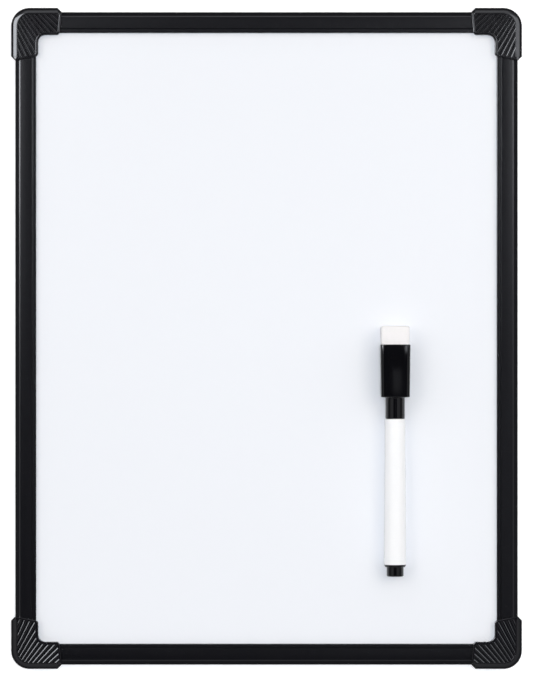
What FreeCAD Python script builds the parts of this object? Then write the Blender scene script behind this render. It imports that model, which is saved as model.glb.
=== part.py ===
"""Letter-size portable whiteboard with a small magnetic marker on its face.

The board lies on its back: X runs across it, Y up it and Z out of the writing face, and the
origin is under the middle of the board, on the plane that the four corner caps rest on.
"""
import FreeCAD, Part
import math
import os
import re

import Sketcher
from FreeCAD import Placement, Rotation, Vector

# Driving sizes: millimetres, degrees for slopes and steps, and one count
SIZES = {
    "board_width": (215.9, "width of the board over the corner caps"),
    "board_height": (279.4, "height of the board over the corner caps"),

    "sheet_thickness": (0.4, "lacquered steel writing sheet"),
    "core_thickness": (4.2, "fibreboard core"),
    "backing_thickness": (0.4, "backing sheet"),
    "panel_play": (0.1, "gap between each panel face and the rail channel"),
    "panel_edge_gap": (0.3, "gap between the panel edge and the channel floor"),

    "rail_width": (8.9, "rail seen from the front"),
    "rail_outer_wall": (1.3, "channel floor of the rail"),
    "rail_back_wall": (1.2, "wall of the rail behind the panel"),
    "rail_back_reach": (7.2, "reach of the back wall from the outer side"),
    "rail_lip": (1.6, "lip of the rail over the writing sheet"),
    "rail_outer_round": (2.2, "round of the outer front edge"),
    "rail_inner_round": (0.8, "round of the inner front edge"),
    "rail_back_round": (0.8, "round of the outer back edge"),
    "rail_line_inset": (1.45, "decorative line, from the inner edge"),
    "rail_line_width": (0.6, "width of the decorative line"),
    "rail_line_depth": (0.35, "depth of the decorative line"),
    "rail_setback": (12.0, "rail end, from the outside of the board"),

    "corner_step": (1.7, "corner cap past the outer side of the rail"),
    "corner_lip": (0.9, "corner cap past the inner side of the rail"),
    "corner_front_proud": (1.4, "corner cap in front of the rail"),
    "corner_back_proud": (1.0, "corner cap behind the rail"),
    "corner_leg": (22.0, "length of a leg at its outer end"),
    "corner_end_slope": (9.8, "slant of a leg's end, degrees"),
    "corner_end_cut": (1.75, "outer corner cut off a leg's end"),
    "corner_lip_cut": (0.7, "inner corner cut off a leg's end"),
    "corner_outer_round": (7.8, "outer corner, in plan"),
    "corner_inner_round": (3.1, "inner corner, in plan"),
    "corner_front_round": (2.3, "outer front edge"),
    "corner_lip_bevel": (0.4, "inner and end front edges"),
    "corner_play": (0.1, "gap round a rail in its socket"),

    "recess_depth": (0.6, "sunk field of the corner cap"),
    "recess_outer_margin": (2.75, "smooth border on the outer side"),
    "recess_inner_margin": (1.2, "smooth border on the inner side"),
    "recess_end_margin": (0.95, "smooth border at the leg's end"),
    "rib_width": (1.1, "foot of a rib"),
    "rib_crest": (0.45, "crest of a rib"),
    "rib_height": (0.45, "rib above the floor of the sunk field"),
    "rib_root": (0.2, "rib base sunk below that floor"),
    "rib_count": (13, "ribs in one corner cap"),
    "rib_step": (2.4, "turn from one rib to the next, degrees"),
    "fan_aside": (14.4, "centre of the rib fan outside the corner, across the board"),
    "fan_beyond": (24.5, "centre of the rib fan outside the corner, up or down the board"),
    "fan_lean": (36.5, "lean of the middle rib from upright, degrees"),

    "marker_across": (54.25, "marker axis right of the middle of the board"),
    "marker_drop": (34.0, "front end of the barrel below the middle of the board"),
    "mouth_gap": (0.15, "gap between the marker cap and the barrel"),
    "neck_diameter": (8.2, "round neck of the marker cap"),
    "neck_length": (9.1, "length of the neck"),
    "box_length": (22.2, "box end of the marker cap"),
    "box_top_width": (12.7, "box width at the eraser"),
    "box_low_width": (12.15, "box width at the neck"),
    "box_top_rise": (6.0, "box front above the axis at the eraser"),
    "box_low_rise": (5.6, "box front above the axis at the neck"),
    "box_back_drop": (6.0, "box back below the axis"),
    "box_front_round": (1.5, "long front edges of the box"),
    "box_back_round": (0.5, "long back edges of the box"),
    "box_end_round": (0.4, "edges of the box end at the neck"),

    "pad_wall": (0.5, "wall of the box round the eraser"),
    "pad_pocket": (6.4, "depth of the eraser pocket"),
    "pad_play": (0.05, "gap round the eraser in its pocket"),
    "pad_proud": (7.8, "eraser past the end of the box"),
    "pad_corner_round": (0.8, "long edges of the eraser and its pocket"),

    "magnet_length": (12.0, "magnet, along the marker"),
    "magnet_width": (7.0, "magnet, across the marker"),
    "magnet_thickness": (1.7, "magnet, off the board"),
    "magnet_recess": (0.1, "magnet face sunk below the cap's back"),
    "magnet_play": (0.05, "gap round the magnet"),
    "magnet_start": (2.4, "magnet pocket from the box's neck end"),

    "barrel_length": (61.4, "barrel"),
    "barrel_front_diameter": (8.5, "barrel at the cap"),
    "barrel_tail_diameter": (9.4, "barrel at the tail"),
    "barrel_bore": (6.9, "bore of the barrel"),
    "fit_play": (0.05, "gap round a pushed-in marker piece"),

    "holder_plug": (9.0, "nib holder inside the barrel"),
    "collar_diameter": (6.4, "nib holder inside the marker cap"),
    "collar_length": (8.0, "length of that collar"),
    "cone_length": (1.6, "cone from the collar to the nose"),
    "nose_diameter": (4.4, "nose of the nib holder"),
    "nose_length": (4.6, "length of the nose"),
    "nib_diameter": (3.0, "nib"),
    "nib_reach": (3.4, "nib past the nose"),
    "nib_point": (2.2, "length of the nib's tapered point"),
    "nib_tip_diameter": (1.2, "blunt end of that point"),
    "nib_tail": (5.0, "nib inside the ink store"),
    "cap_play": (0.08, "gap between the collar and the marker cap"),
    "seal_play": (0.06, "gap between the nose and the inner seal"),
    "seal_mouth": (0.5, "inner seal clear of the cone"),
    "seal_headroom": (1.0, "room over the nib's point"),
    "seal_roof": (0.8, "closed end of the inner seal"),

    "wrap_thickness": (0.15, "film round the ink store"),
    "store_play": (0.3, "gap at each end of the ink store"),

    "plug_collar": (5.0, "end plug inside the barrel"),
    "plug_flange": (1.0, "bevelled flange of the end plug"),
    "plug_end_diameter": (7.1, "free end of the end plug"),
    "plug_end_length": (4.0, "length of the free end"),
    "plug_edge": (0.5, "bevel of the free end's rim"),
    "plug_wall": (0.9, "wall of the end plug"),
}

# Values worked out from the driving sizes
DERIVED = {
    "panel_thickness": "sheet_thickness + core_thickness + backing_thickness",
    "channel": "panel_thickness + 2 * panel_play",
    "rail_height": "rail_back_wall + channel + rail_lip",
    "panel_inset": "corner_step + rail_outer_wall + panel_edge_gap",
    "panel_width": "board_width - 2 * panel_inset",
    "panel_height": "board_height - 2 * panel_inset",
    "panel_back": "corner_back_proud + rail_back_wall + panel_play",
    "core_back": "panel_back + backing_thickness",
    "sheet_back": "core_back + core_thickness",
    "writing_level": "sheet_back + sheet_thickness",

    "leg_width": "corner_step + rail_width + corner_lip",
    "corner_height": "corner_back_proud + rail_height + corner_front_proud",
    "blank_side": "corner_leg + corner_end_cut",
    "recess_floor": "corner_height - recess_depth",
    "leg_slant": "tan(corner_end_slope * 1 deg)",

    "box_start": "mouth_gap + neck_length",
    "box_end": "box_start + box_length",
    "pad_floor": "box_end - pad_pocket",
    "pocket_width": "box_top_width - 2 * pad_wall",
    "pocket_front": "box_top_rise - pad_wall",
    "pocket_back": "box_back_drop - pad_wall",
    "magnet_from": "box_start + magnet_start",
    "magnet_depth": "magnet_thickness + magnet_recess + magnet_play",

    "bore_radius": "barrel_bore / 2",
    "pushed_radius": "bore_radius - fit_play",
    "collar_radius": "collar_diameter / 2",
    "nose_radius": "nose_diameter / 2",
    "nib_radius": "nib_diameter / 2",
    "nib_hole": "nib_radius + fit_play",
    "socket_radius": "collar_radius + cap_play",
    "cone_end": "collar_length + cone_length",
    "nose_end": "cone_end + nose_length",
    "nib_tip": "nose_end + nib_reach",
    "seal_inner_end": "nib_tip + seal_headroom",
    "seal_end": "seal_inner_end + seal_roof",
    "socket_end": "seal_end + fit_play",
    "tail": "-barrel_length",
    "store_front": "-holder_plug - store_play",
    "store_back": "tail + plug_collar + store_play",
    "store_radius": "pushed_radius - wrap_thickness",
    "plug_end": "tail - plug_flange - plug_end_length",
    "plug_end_radius": "plug_end_diameter / 2",
}

FULL_TURN = 360
QUARTER_TURN = 90
HALF_ROUND = f"{1 - math.sqrt(0.5):.9f}"    # height of a quarter circle over its chord, per radius

doc = FreeCAD.newDocument("portable_whiteboard")
sheet = doc.addObject("Spreadsheet::Sheet", "Sizes")
for row, (alias, (size, meaning)) in enumerate(SIZES.items(), start=1):
    sheet.set(f"A{row}", meaning)
    sheet.set(f"B{row}", str(size))
    sheet.setAlias(f"B{row}", alias)
doc.recompute()

nodes = []


def formula(text):
    """The text with derived names written out and every size read from the sheet."""
    def written_out(match):
        word = match.group()
        if word in DERIVED:
            return f"({formula(DERIVED[word])})"
        return f"Sizes.{word}" if word in SIZES else word
    return re.sub(r"[a-z_]+", written_out, str(text))


def value(text):
    """The number that a formula gives now."""
    return float(sheet.evalExpression(formula(text)))


def bind(thing, prop, text):
    thing.setExpression(prop, formula(text))


def place(thing, x="0", y="0", z="0", quarter_turns=0):
    """Set a sub-part down at a point given by three formulas, turned about Z."""
    turn = Rotation(Vector(0, 0, 1), QUARTER_TURN * quarter_turns)
    thing.Placement = Placement(Vector(), turn)
    for axis, text in zip("xyz", (x, y, z)):
        bind(thing, f".Placement.Base.{axis}", text)
    nodes.append(thing)


def new_body(name):
    return doc.addObject("PartDesign::Body", name)


def sketch_on(body, role, level="0"):
    """An empty sketch on one of the body's origin planes, raised along its normal."""
    sketch = body.newObject("Sketcher::SketchObject", "Sketch")
    plane = next(item for item in body.Origin.OriginFeatures if item.Role == role)
    sketch.AttachmentSupport = (plane, [""])
    sketch.MapMode = "FlatFace"
    bind(sketch, ".AttachmentOffset.Base.z", level)
    return sketch


def hold(sketch, kind, geometry, point, text):
    """Hold a point of a line or arc at a formula, measured from the sketch's origin."""
    held = Sketcher.Constraint(kind, -1, 1, geometry, point, value(text))
    bind(sketch, f"Constraints[{sketch.addConstraint(held)}]", text)


def add_side(sketch, start, stop, bulge):
    """One side of an outline: straight, or an arc that rises by bulge to the right of its chord.

    Gives the side's number and which of its points are the start and the stop.
    """
    first = Vector(value(start[0]), value(start[1]), 0)
    last = Vector(value(stop[0]), value(stop[1]), 0)
    if bulge is None:
        return sketch.addGeometry(Part.LineSegment(first, last), False), 1, 2
    run_x = f"(({stop[0]}) - ({start[0]}))"
    run_y = f"(({stop[1]}) - ({start[1]}))"
    chord = f"sqrt({run_x}^2 + {run_y}^2)"
    offset = f"(({bulge})^2 - {chord}^2 / 4) / (2 * ({bulge}) * {chord})"
    centre_x = f"(({start[0]}) + ({stop[0]})) / 2 + {run_y} * {offset}"
    centre_y = f"(({start[1]}) + ({stop[1]})) / 2 - {run_x} * {offset}"
    centre = Vector(value(centre_x), value(centre_y), 0)
    outward = value(bulge) > 0
    angles = [math.atan2(point.y - centre.y, point.x - centre.x) for point in (first, last)]
    circle = Part.Circle(centre, Vector(0, 0, 1), (first - centre).Length)
    side = sketch.addGeometry(Part.ArcOfCircle(circle, *(angles if outward else angles[::-1])), False)
    if abs(last.x - first.x) > abs(last.y - first.y):
        hold(sketch, "DistanceY", side, 3, centre_y)
    else:
        hold(sketch, "DistanceX", side, 3, centre_x)
    return (side, 1, 2) if outward else (side, 2, 1)


def draw(sketch, corners):
    """A closed outline. A corner is (x, y), or (x, y, bulge) where the next side is an arc."""
    sides = []
    for corner, following in zip(corners, corners[1:] + corners[:1]):
        bulge = corner[2] if len(corner) > 2 else None
        sides.append(add_side(sketch, corner, following, bulge))
    for (side, _, end), (after, begin, _) in zip(sides, sides[1:] + sides[:1]):
        sketch.addConstraint(Sketcher.Constraint("Coincident", side, end, after, begin))
    for (side, begin, _), corner in zip(sides, corners):
        hold(sketch, "DistanceX", side, begin, corner[0])
        hold(sketch, "DistanceY", side, begin, corner[1])
    return sketch


def rectangle(left, low, right, high):
    return [(left, low), (right, low), (right, high), (left, high)]


def rounded_rectangle(left, low, right, high, low_radius, high_radius):
    """A rectangle with quarter-round corners, counter-clockwise from its low side."""
    low_rise = f"({low_radius}) * {HALF_ROUND}"
    high_rise = f"({high_radius}) * {HALF_ROUND}"
    return [
        (f"({left}) + ({low_radius})", low),
        (f"({right}) - ({low_radius})", low, low_rise),
        (right, f"({low}) + ({low_radius})"),
        (right, f"({high}) - ({high_radius})", high_rise),
        (f"({right}) - ({high_radius})", high),
        (f"({left}) + ({high_radius})", high, high_rise),
        (left, f"({high}) - ({high_radius})"),
        (left, f"({low}) + ({low_radius})", low_rise),
    ]


def extrude(body, kind, sketch, length, reverse=False):
    """A Pad or Pocket of a sketch. A pocket has to take material away."""
    before = body.Shape.Volume if kind == "Pocket" else None
    feature = body.newObject(f"PartDesign::{kind}", kind)
    feature.Profile = sketch
    feature.Reversed = reverse
    bind(feature, "Length", length)
    doc.recompute()
    if before is not None and feature.Shape.Volume >= before:
        raise RuntimeError(f"{body.Label}: {feature.Label} cuts nothing")
    return feature


def turn(body, kind, corners):
    """A Revolution or Groove about Y of an outline in (distance along Y, radius)."""
    before = body.Shape.Volume if kind == "Groove" else None
    sketch = draw(sketch_on(body, "YZ_Plane"), corners)
    feature = body.newObject(f"PartDesign::{kind}", kind)
    feature.Profile = sketch
    feature.ReferenceAxis = (sketch, ["H_Axis"])
    feature.Angle = FULL_TURN
    doc.recompute()
    if before is not None and feature.Shape.Volume >= before:
        raise RuntimeError(f"{body.Label}: {feature.Label} cuts nothing")
    return feature


def soften(body, kind, size, wanted):
    """A Fillet or Chamfer of the edges of the body's tip that the test picks."""
    base = body.Tip
    names = [f"Edge{number}" for number, edge in enumerate(base.Shape.Edges, start=1) if wanted(edge)]
    feature = body.newObject(f"PartDesign::{kind}", kind)
    feature.Base = (base, names)
    bind(feature, "Radius" if kind == "Fillet" else "Size", size)
    doc.recompute()
    return feature


def near(first, second):
    return abs(first - second) < 1e-4


def flat_at(edge, level):
    """Whether an edge lies in the plane at that height."""
    return near(edge.BoundBox.ZMin, level) and near(edge.BoundBox.ZMax, level)


# Panel

def make_panel():
    """Three sheets bonded face to face: backing, core and lacquered steel."""
    layers = (
        ("backing_sheet", "backing_thickness", "panel_back"),
        ("core_panel", "core_thickness", "core_back"),
        ("writing_sheet", "sheet_thickness", "sheet_back"),
    )
    for name, thickness, level in layers:
        layer = doc.addObject("Part::Box", name)
        bind(layer, "Length", "panel_width")
        bind(layer, "Width", "panel_height")
        bind(layer, "Height", thickness)
        place(layer, "-panel_width / 2", "-panel_height / 2", level)


# Rails

def rail_outline():
    """Section of a rail from its outer side (0) inwards and from its back (0) forwards."""
    lip_under = "rail_back_wall + channel"
    line = "rail_width - rail_line_inset"
    return [
        ("rail_back_round", "0"),
        ("rail_back_reach", "0"),
        ("rail_back_reach", "rail_back_wall"),
        ("rail_outer_wall", "rail_back_wall"),
        ("rail_outer_wall", lip_under),
        ("rail_width", lip_under),
        ("rail_width", "rail_height - rail_inner_round", f"rail_inner_round * {HALF_ROUND}"),
        ("rail_width - rail_inner_round", "rail_height"),
        (line, "rail_height"),
        (f"{line} - rail_line_width / 2", "rail_height - rail_line_depth"),
        (f"{line} - rail_line_width", "rail_height"),
        ("rail_outer_round", "rail_height", f"rail_outer_round * {HALF_ROUND}"),
        ("0", "rail_height - rail_outer_round"),
        ("0", "rail_back_round", f"rail_back_round * {HALF_ROUND}"),
    ]


def make_rail(name, run, x, y, quarter_turns):
    """A length of U channel that stops inside the two corner caps."""
    body = new_body(name)
    section = draw(sketch_on(body, "YZ_Plane"), rail_outline())
    extrude(body, "Pad", section, f"{run} - 2 * rail_setback")
    place(body, x, y, "corner_back_proud", quarter_turns)


def make_rails():
    half_width, half_height = "board_width / 2", "board_height / 2"
    make_rail("rail_bottom", "board_width",
              f"rail_setback - {half_width}", f"corner_step - {half_height}", 0)
    make_rail("rail_right", "board_height",
              f"{half_width} - corner_step", f"rail_setback - {half_height}", 1)
    make_rail("rail_top", "board_width",
              f"{half_width} - rail_setback", f"{half_height} - corner_step", 2)
    make_rail("rail_left", "board_height",
              f"corner_step - {half_width}", f"{half_height} - rail_setback", 3)


# Corner caps

def leg_end(across):
    """Length of a leg at a distance from its outer side: the end slants back inwards."""
    return f"corner_leg - (({across}) - corner_end_cut) * leg_slant"


def trim_outline():
    """Everything of the square blank that lies outside the two legs."""
    far = "blank_side + corner_end_cut"
    lip_end = leg_end("leg_width - corner_lip_cut")
    past_cut = "corner_leg - 2 * corner_end_cut"
    inside = "leg_width + corner_inner_round"
    return [
        (past_cut, "-corner_end_cut"),
        (far, "-corner_end_cut"),
        (far, far),
        ("-corner_end_cut", far),
        ("-corner_end_cut", past_cut),
        ("corner_end_cut", "corner_leg"),
        ("leg_width - corner_lip_cut", lip_end),
        ("leg_width", f"{lip_end} - corner_lip_cut"),
        ("leg_width", inside, f"corner_inner_round * {HALF_ROUND}"),
        (inside, "leg_width"),
        (f"{lip_end} - corner_lip_cut", "leg_width"),
        (lip_end, "leg_width - corner_lip_cut"),
        ("corner_leg", "corner_end_cut"),
    ]


def recess_outline():
    """The sunk field: the plan of the cap, set in by its three margins."""
    outer = "recess_outer_margin"
    inner = "leg_width - recess_inner_margin"
    outer_end = f"{leg_end(outer)} - recess_end_margin"
    inner_end = f"{leg_end(inner)} - recess_end_margin"
    outer_round = "corner_outer_round - recess_outer_margin"
    inner_round = "corner_inner_round + recess_inner_margin"
    return [
        (f"{outer} + {outer_round}", outer),
        (outer_end, outer),
        (inner_end, inner),
        (f"{inner} + {inner_round}", inner, f"-({inner_round}) * {HALF_ROUND}"),
        (inner, f"{inner} + {inner_round}"),
        (inner, inner_end),
        (outer, outer_end),
        (outer, f"{outer} + {outer_round}", f"({outer_round}) * {HALF_ROUND}"),
    ]


def corner_shell(name):
    """The moulding without its ribs: outer corner at the origin, legs along X and Y."""
    body = new_body(name)
    blank = draw(sketch_on(body, "XY_Plane"), [
        ("corner_outer_round", "0"),
        ("blank_side", "0"),
        ("blank_side", "blank_side"),
        ("0", "blank_side"),
        ("0", "corner_outer_round", f"corner_outer_round * {HALF_ROUND}"),
    ])
    extrude(body, "Pad", blank, "corner_height")

    def outside(edge):
        return min(edge.CenterOfMass.x, edge.CenterOfMass.y) < value("corner_outer_round") / 2

    front = value("corner_height")
    soften(body, "Fillet", "corner_front_round", lambda edge: flat_at(edge, front) and outside(edge))

    trimmed = draw(sketch_on(body, "XY_Plane"), trim_outline())
    extrude(body, "Pocket", trimmed, "corner_height", reverse=True)

    def on_lip(edge):
        middle = edge.CenterOfMass
        return flat_at(edge, front) and min(middle.x, middle.y) > value("corner_front_round") + 1e-4

    soften(body, "Chamfer", "corner_lip_bevel", on_lip)

    recess = draw(sketch_on(body, "XY_Plane", "recess_floor"), recess_outline())
    extrude(body, "Pocket", recess, "recess_depth", reverse=True)

    near_side = "corner_step - corner_play"
    far_side = "corner_step + rail_width + corner_play"
    sockets = sketch_on(body, "XY_Plane", "corner_back_proud - corner_play")
    draw(sockets, rectangle("rail_setback", near_side, "blank_side", far_side))
    draw(sockets, rectangle(near_side, "rail_setback", far_side, "blank_side"))
    extrude(body, "Pocket", sockets, "rail_height + 2 * corner_play", reverse=True)

    edge = "panel_inset - panel_edge_gap"
    slot = sketch_on(body, "XY_Plane", "corner_back_proud + rail_back_wall")
    draw(slot, rectangle(edge, edge, "blank_side", "blank_side"))
    extrude(body, "Pocket", slot, "channel", reverse=True)
    return body


def rib_fan(name, mirrored):
    """Ribs that fan out from a point outside the corner, on a thin base.

    The fan stands steeper than the diagonal, so half of the caps have it mirrored in the diagonal.
    """
    body = new_body(name)
    base = sketch_on(body, "XY_Plane", "recess_floor - rib_root")
    draw(base, rectangle("0", "0", "blank_side", "blank_side"))
    extrude(body, "Pad", base, "rib_root")

    left, below, lean = "fan_aside", "fan_beyond", "fan_lean"
    if mirrored:
        left, below, lean = below, left, f"{QUARTER_TURN} - fan_lean"
    section = sketch_on(body, "XZ_Plane")
    section.AttachmentOffset = Placement(Vector(), Rotation(Vector(0, 1, 0), -value(lean)))
    for axis, text in (("x", f"-{left}"), ("y", "recess_floor"), ("z", below)):
        bind(section, f".AttachmentOffset.Base.{axis}", text)
    bind(section, ".AttachmentOffset.Rotation.Angle", f"-({lean})")
    draw(section, [
        ("-rib_width / 2", "-rib_root / 2"),
        ("rib_width / 2", "-rib_root / 2"),
        ("rib_width / 2", "0"),
        ("rib_crest / 2", "rib_height"),
        ("-rib_crest / 2", "rib_height"),
        ("-rib_width / 2", "0"),
    ])
    rib = extrude(body, "Pad", section, "2 * (fan_beyond + blank_side)", reverse=True)

    for backwards in (True, False):
        fan = body.newObject("PartDesign::PolarPattern", "Fan")
        fan.Originals = [rib]
        fan.Axis = (section, ["V_Axis"])
        fan.Reversed = backwards
        bind(fan, "Angle", "rib_step * (rib_count - 1) / 2")
        bind(fan, "Occurrences", "(rib_count + 1) / 2")
        body.Tip = fan
        doc.recompute()
    return body


def recess_block(name):
    """The space that the ribs and their base fill: the sunk field, down to the base."""
    body = new_body(name)
    field = draw(sketch_on(body, "XY_Plane", "recess_floor - rib_root"), recess_outline())
    extrude(body, "Pad", field, "rib_root + rib_height")
    return body


def make_corner_cap(name, x, y, quarter_turns):
    """The shell with the rib fan cut to its sunk field and moulded in."""
    ribs = doc.addObject("Part::Common", f"{name}_ribs")
    ribs.Base = rib_fan(f"{name}_fan", mirrored=quarter_turns % 2 == 1)
    ribs.Tool = recess_block(f"{name}_field")
    cap = doc.addObject("Part::Fuse", name)
    cap.Base = corner_shell(f"{name}_shell")
    cap.Tool = ribs
    cap.Refine = True
    place(cap, x, y, "0", quarter_turns)


def make_corner_caps():
    right, high = "board_width / 2", "board_height / 2"
    make_corner_cap("corner_cap_bottom_left", f"-{right}", f"-{high}", 0)
    make_corner_cap("corner_cap_bottom_right", right, f"-{high}", 1)
    make_corner_cap("corner_cap_top_right", right, high, 2)
    make_corner_cap("corner_cap_top_left", f"-{right}", high, 3)


# Marker: its axis is Y, with the barrel's front end at 0, the eraser at the top and the tail below

def place_in_marker(body):
    place(body, "marker_across", "-marker_drop", "writing_level + box_back_drop")


def box_section(body, along, width, drop, rise):
    """Cross-section of the marker cap's box at a distance along the axis."""
    return draw(sketch_on(body, "XZ_Plane", f"-({along})"), rounded_rectangle(
        f"-({width}) / 2", f"-({drop})", f"({width}) / 2", rise,
        "box_back_round", "box_front_round"))


def make_marker_cap():
    """A drafted box with an eraser pocket, a magnet pocket and a round neck."""
    body = new_body("marker_cap")
    sections = [box_section(body, *at) for at in (
        ("box_start", "box_low_width - 2 * box_end_round", "box_back_drop - box_end_round",
         "box_low_rise - box_end_round"),
        ("box_start + box_end_round", "box_low_width", "box_back_drop", "box_low_rise"),
        ("box_end", "box_top_width", "box_back_drop", "box_top_rise"),
    )]
    box = body.newObject("PartDesign::AdditiveLoft", "Box")
    box.Profile = sections[0]
    box.Sections = sections[1:]
    box.Ruled = True
    doc.recompute()

    turn(body, "Revolution", rectangle("mouth_gap", "0", "socket_end", "neck_diameter / 2"))
    turn(body, "Groove", rectangle("mouth_gap", "0", "socket_end", "socket_radius"))

    pocket = draw(sketch_on(body, "XZ_Plane", "-box_end"), rounded_rectangle(
        "-pocket_width / 2", "-pocket_back", "pocket_width / 2", "pocket_front",
        "pad_corner_round", "pad_corner_round"))
    extrude(body, "Pocket", pocket, "pad_pocket", reverse=True)

    magnet = draw(sketch_on(body, "XY_Plane", "-box_back_drop"), rectangle(
        "-magnet_width / 2 - magnet_play", "magnet_from - magnet_play",
        "magnet_width / 2 + magnet_play", "magnet_from + magnet_length + magnet_play"))
    extrude(body, "Pocket", magnet, "magnet_depth", reverse=True)
    place_in_marker(body)


def make_eraser_pad():
    """A felt block with rounded long edges."""
    body = new_body("eraser_pad")
    section = draw(sketch_on(body, "XZ_Plane", "-pad_floor - pad_play"), rounded_rectangle(
        "pad_play - pocket_width / 2", "pad_play - pocket_back",
        "pocket_width / 2 - pad_play", "pocket_front - pad_play",
        "pad_corner_round - pad_play", "pad_corner_round - pad_play"))
    extrude(body, "Pad", section, "pad_pocket - pad_play + pad_proud", reverse=True)
    place_in_marker(body)


def make_cap_magnet():
    magnet = doc.addObject("Part::Box", "cap_magnet")
    bind(magnet, "Length", "magnet_width")
    bind(magnet, "Width", "magnet_length")
    bind(magnet, "Height", "magnet_thickness")
    place(magnet, "marker_across - magnet_width / 2", "magnet_from - marker_drop",
          "writing_level + magnet_recess")


def make_turned(name, corners):
    body = new_body(name)
    turn(body, "Revolution", corners)
    place_in_marker(body)


def make_inner_cap_seal():
    """A cup that closes round the nose of the nib holder."""
    mouth = "cone_end + seal_mouth"
    make_turned("inner_cap_seal", [
        (mouth, "nose_radius + seal_play"),
        ("seal_inner_end", "nose_radius + seal_play"),
        ("seal_inner_end", "0"),
        ("seal_end", "0"),
        ("seal_end", "socket_radius - fit_play"),
        (mouth, "socket_radius - fit_play"),
    ])


def make_barrel():
    """A tapered tube, wider at the tail."""
    make_turned("marker_barrel", [
        ("0", "bore_radius"),
        ("0", "barrel_front_diameter / 2"),
        ("tail", "barrel_tail_diameter / 2"),
        ("tail", "bore_radius"),
    ])


def make_end_plug():
    """A cup pushed into the tail, with a bevelled flange and a narrower free end."""
    flange = "tail - plug_flange"
    make_turned("end_plug", [
        ("plug_end", "0"),
        ("plug_end", "plug_end_radius - plug_edge"),
        ("plug_end + plug_edge", "plug_end_radius"),
        (flange, "plug_end_radius"),
        (flange, "barrel_tail_diameter / 2 - plug_flange / 2"),
        ("tail", "barrel_tail_diameter / 2"),
        ("tail", "pushed_radius"),
        ("tail + plug_collar", "pushed_radius"),
        ("tail + plug_collar", "pushed_radius - plug_wall"),
        ("plug_end + plug_wall", "pushed_radius - plug_wall"),
        ("plug_end + plug_wall", "0"),
    ])


def make_nib_holder():
    """A plug for the barrel, a collar for the cap and a nose round the nib."""
    make_turned("nib_holder", [
        ("-holder_plug", "nib_hole"),
        ("nose_end", "nib_hole"),
        ("nose_end", "nose_radius"),
        ("cone_end", "nose_radius"),
        ("collar_length", "collar_radius"),
        ("0", "collar_radius"),
        ("0", "pushed_radius"),
        ("-holder_plug", "pushed_radius"),
    ])


def make_nib():
    """A fibre rod with a tapered point."""
    make_turned("nib", [
        ("store_front - nib_tail", "0"),
        ("nib_tip", "0"),
        ("nib_tip", "nib_tip_diameter / 2"),
        ("nib_tip - nib_point", "nib_radius"),
        ("store_front - nib_tail", "nib_radius"),
    ])


def make_ink_store():
    """A fibre rod with a hole for the nib's tail, in a tube of film."""
    hole_end = "store_front - nib_tail - fit_play"
    make_turned("ink_reservoir", [
        ("store_back", "0"),
        (hole_end, "0"),
        (hole_end, "nib_hole"),
        ("store_front", "nib_hole"),
        ("store_front", "store_radius"),
        ("store_back", "store_radius"),
    ])
    make_turned("reservoir_wrap", rectangle("store_back", "store_radius", "store_front", "pushed_radius"))


def check_document():
    """Stop unless every object is sound and every sub-part is a valid solid."""
    doc.recompute()
    broken = [item.Label for item in doc.Objects if {"Invalid", "Error"} & set(item.State)]
    broken += [node.Label for node in nodes if node.Shape.isNull() or not node.Shape.isValid()]
    broken += [node.Label for node in nodes if len(node.Shape.Solids) != 1]
    if broken:
        raise RuntimeError(f"failed: {broken}")


make_panel()
make_rails()
make_corner_caps()
make_marker_cap()
make_eraser_pad()
make_cap_magnet()
make_inner_cap_seal()
make_barrel()
make_end_plug()
make_nib_holder()
make_nib()
make_ink_store()
check_document()

os.makedirs("parts", exist_ok=True)
for node in nodes:
    node.Shape.exportStep(f"parts/{node.Label}.step")
    print(f"{node.Label}: {node.Shape.Volume:.1f} mm3")
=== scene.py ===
"""Looks of a letter-size portable whiteboard with a small magnetic marker, built round its CAD frame."""
import math

import bmesh
import bpy
import numpy as np
from bpy.props import FloatProperty, FloatVectorProperty, IntProperty, PointerProperty
from bpy.types import Operator, Panel, PropertyGroup
from mathutils import Matrix, Vector


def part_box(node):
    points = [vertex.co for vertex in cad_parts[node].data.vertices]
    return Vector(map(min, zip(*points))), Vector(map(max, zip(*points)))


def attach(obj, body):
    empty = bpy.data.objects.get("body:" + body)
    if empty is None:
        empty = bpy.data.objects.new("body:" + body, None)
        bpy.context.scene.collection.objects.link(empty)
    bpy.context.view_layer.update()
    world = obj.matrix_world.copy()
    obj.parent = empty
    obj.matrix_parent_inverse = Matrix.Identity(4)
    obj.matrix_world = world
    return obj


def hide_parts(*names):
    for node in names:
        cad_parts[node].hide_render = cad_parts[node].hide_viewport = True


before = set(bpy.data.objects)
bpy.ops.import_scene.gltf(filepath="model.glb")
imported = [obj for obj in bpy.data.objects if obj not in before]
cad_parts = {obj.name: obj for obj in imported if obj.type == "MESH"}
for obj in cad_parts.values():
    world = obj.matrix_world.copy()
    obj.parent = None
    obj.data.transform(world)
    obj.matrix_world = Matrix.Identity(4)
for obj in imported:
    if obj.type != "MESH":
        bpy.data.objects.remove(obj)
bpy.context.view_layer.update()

bl_info = {
    "name": "Portable Whiteboard",
    "version": (1, 0, 0),
    "blender": (4, 5, 0),
    "location": "View3D > Sidebar > Whiteboard",
    "description": "Dresses the CAD frame of a portable whiteboard and its marker",
    "category": "Object",
}

MM = 0.001
PHOTO_WIDTH, PHOTO_HEIGHT = 533, 683
ARC_STEPS = 9          # points on each rounded corner of an outline
ROUND_STEPS = 96       # points round a turned piece
LEAST_ROUND = 1e-4     # millimetres, stands for a sharp corner
SHARP_ANGLE = math.radians(38)
MERGE_DISTANCE = 5e-7  # metres


def linear(hex_code):
    """An sRGB hex colour as linear red, green and blue."""
    srgb = np.array([int(hex_code[at:at + 2], 16) for at in (0, 2, 4)]) / 255
    return tuple(np.where(srgb <= 0.04045, srgb / 12.92, ((srgb + 0.055) / 1.055) ** 2.4))


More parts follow.
